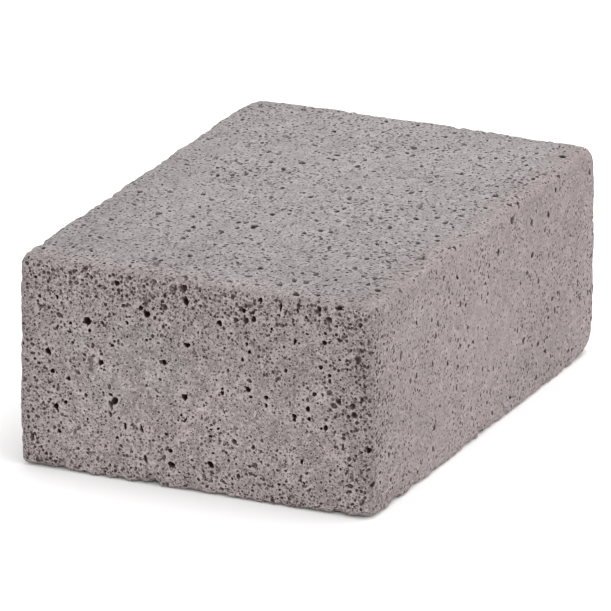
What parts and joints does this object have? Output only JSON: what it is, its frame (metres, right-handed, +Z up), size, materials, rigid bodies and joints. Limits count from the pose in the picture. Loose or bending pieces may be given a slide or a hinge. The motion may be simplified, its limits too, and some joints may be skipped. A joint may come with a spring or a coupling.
{
  "type": "pumice stone",
  "caption": "Rectangular block of porous grey pumice with worn edges, held in the hand to scour or smooth a surface.",
  "frame": {"origin": "middle of the underside, on the surface that the stone rests on", "axes": "+X across the short end face, +Y along the length away from the coarse-pored end face that the picture shows, +Z up through the thickness"},
  "size_m": [0.07, 0.1, 0.04],
  "materials": {
    "pumice": "dry, matt, finely porous grey stone with a faint mauve cast and near-black open pores"
  },
  "bodies": {
    "root": {"pumice_stone": "pumice"}
  },
  "joints": []
}
